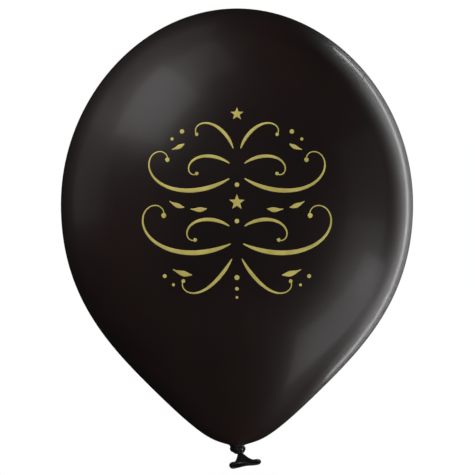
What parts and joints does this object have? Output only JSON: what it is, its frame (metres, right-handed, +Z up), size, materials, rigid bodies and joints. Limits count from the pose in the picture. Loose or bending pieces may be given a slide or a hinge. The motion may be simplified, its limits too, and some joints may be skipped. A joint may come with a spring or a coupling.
{
  "type": "tied latex balloon",
  "caption": "Inflated teardrop latex party balloon, tied in an overhand knot, with a flared tail, a rolled lip and a gold ornament printed on its front.",
  "frame": {"origin": "the tie: the middle of the neck where it meets the knot", "axes": "+Z up the balloon's axis towards the crown, -Y out of the printed front, +X to the right seen from the front"},
  "size_m": [0.2999, 0.3002, 0.3912],
  "materials": {
    "latex_skin": "stretched black latex, opaque, soft gloss",
    "latex_gathered": "unstretched black latex, thicker and darker, soft gloss",
    "gold_ink": "screen-printed gold ink, satin"
  },
  "bodies": {
    "balloon": {"envelope": "latex_skin", "neck": "latex_gathered", "print_upper_scrolls": "gold_ink", "print_lower_scrolls": "gold_ink", "print_leaves": "gold_ink", "print_stars": "gold_ink", "print_dots": "gold_ink"},
    "knot": {"knot": "latex_gathered"},
    "stem": {"tail_stem": "latex_gathered"},
    "tail": {"tail_sleeve": "latex_gathered", "rolled_lip": "latex_gathered"}
  },
  "joints": [
    {"name": "neck_twist", "type": "hinge", "parent": "balloon", "child": "knot", "pos_m": [0, 0, -0.00115], "axis": [0, 0, 1], "range_deg": [-90, 90], "stiffness_Nm_per_rad": 0.0002},
    {"name": "tail_sway", "type": "hinge", "parent": "knot", "child": "stem", "pos_m": [0.0032, -0.0042, -0.008], "axis": [0, 1, 0], "range_deg": [-30, 40], "stiffness_Nm_per_rad": 0.0002},
    {"name": "tail_flap", "type": "hinge", "parent": "stem", "child": "tail", "pos_m": [0.0032, -0.0042, -0.008], "axis": [0.9903, 0, 0.1392], "range_deg": [-45, 50], "stiffness_Nm_per_rad": 0.0002}
  ]
}
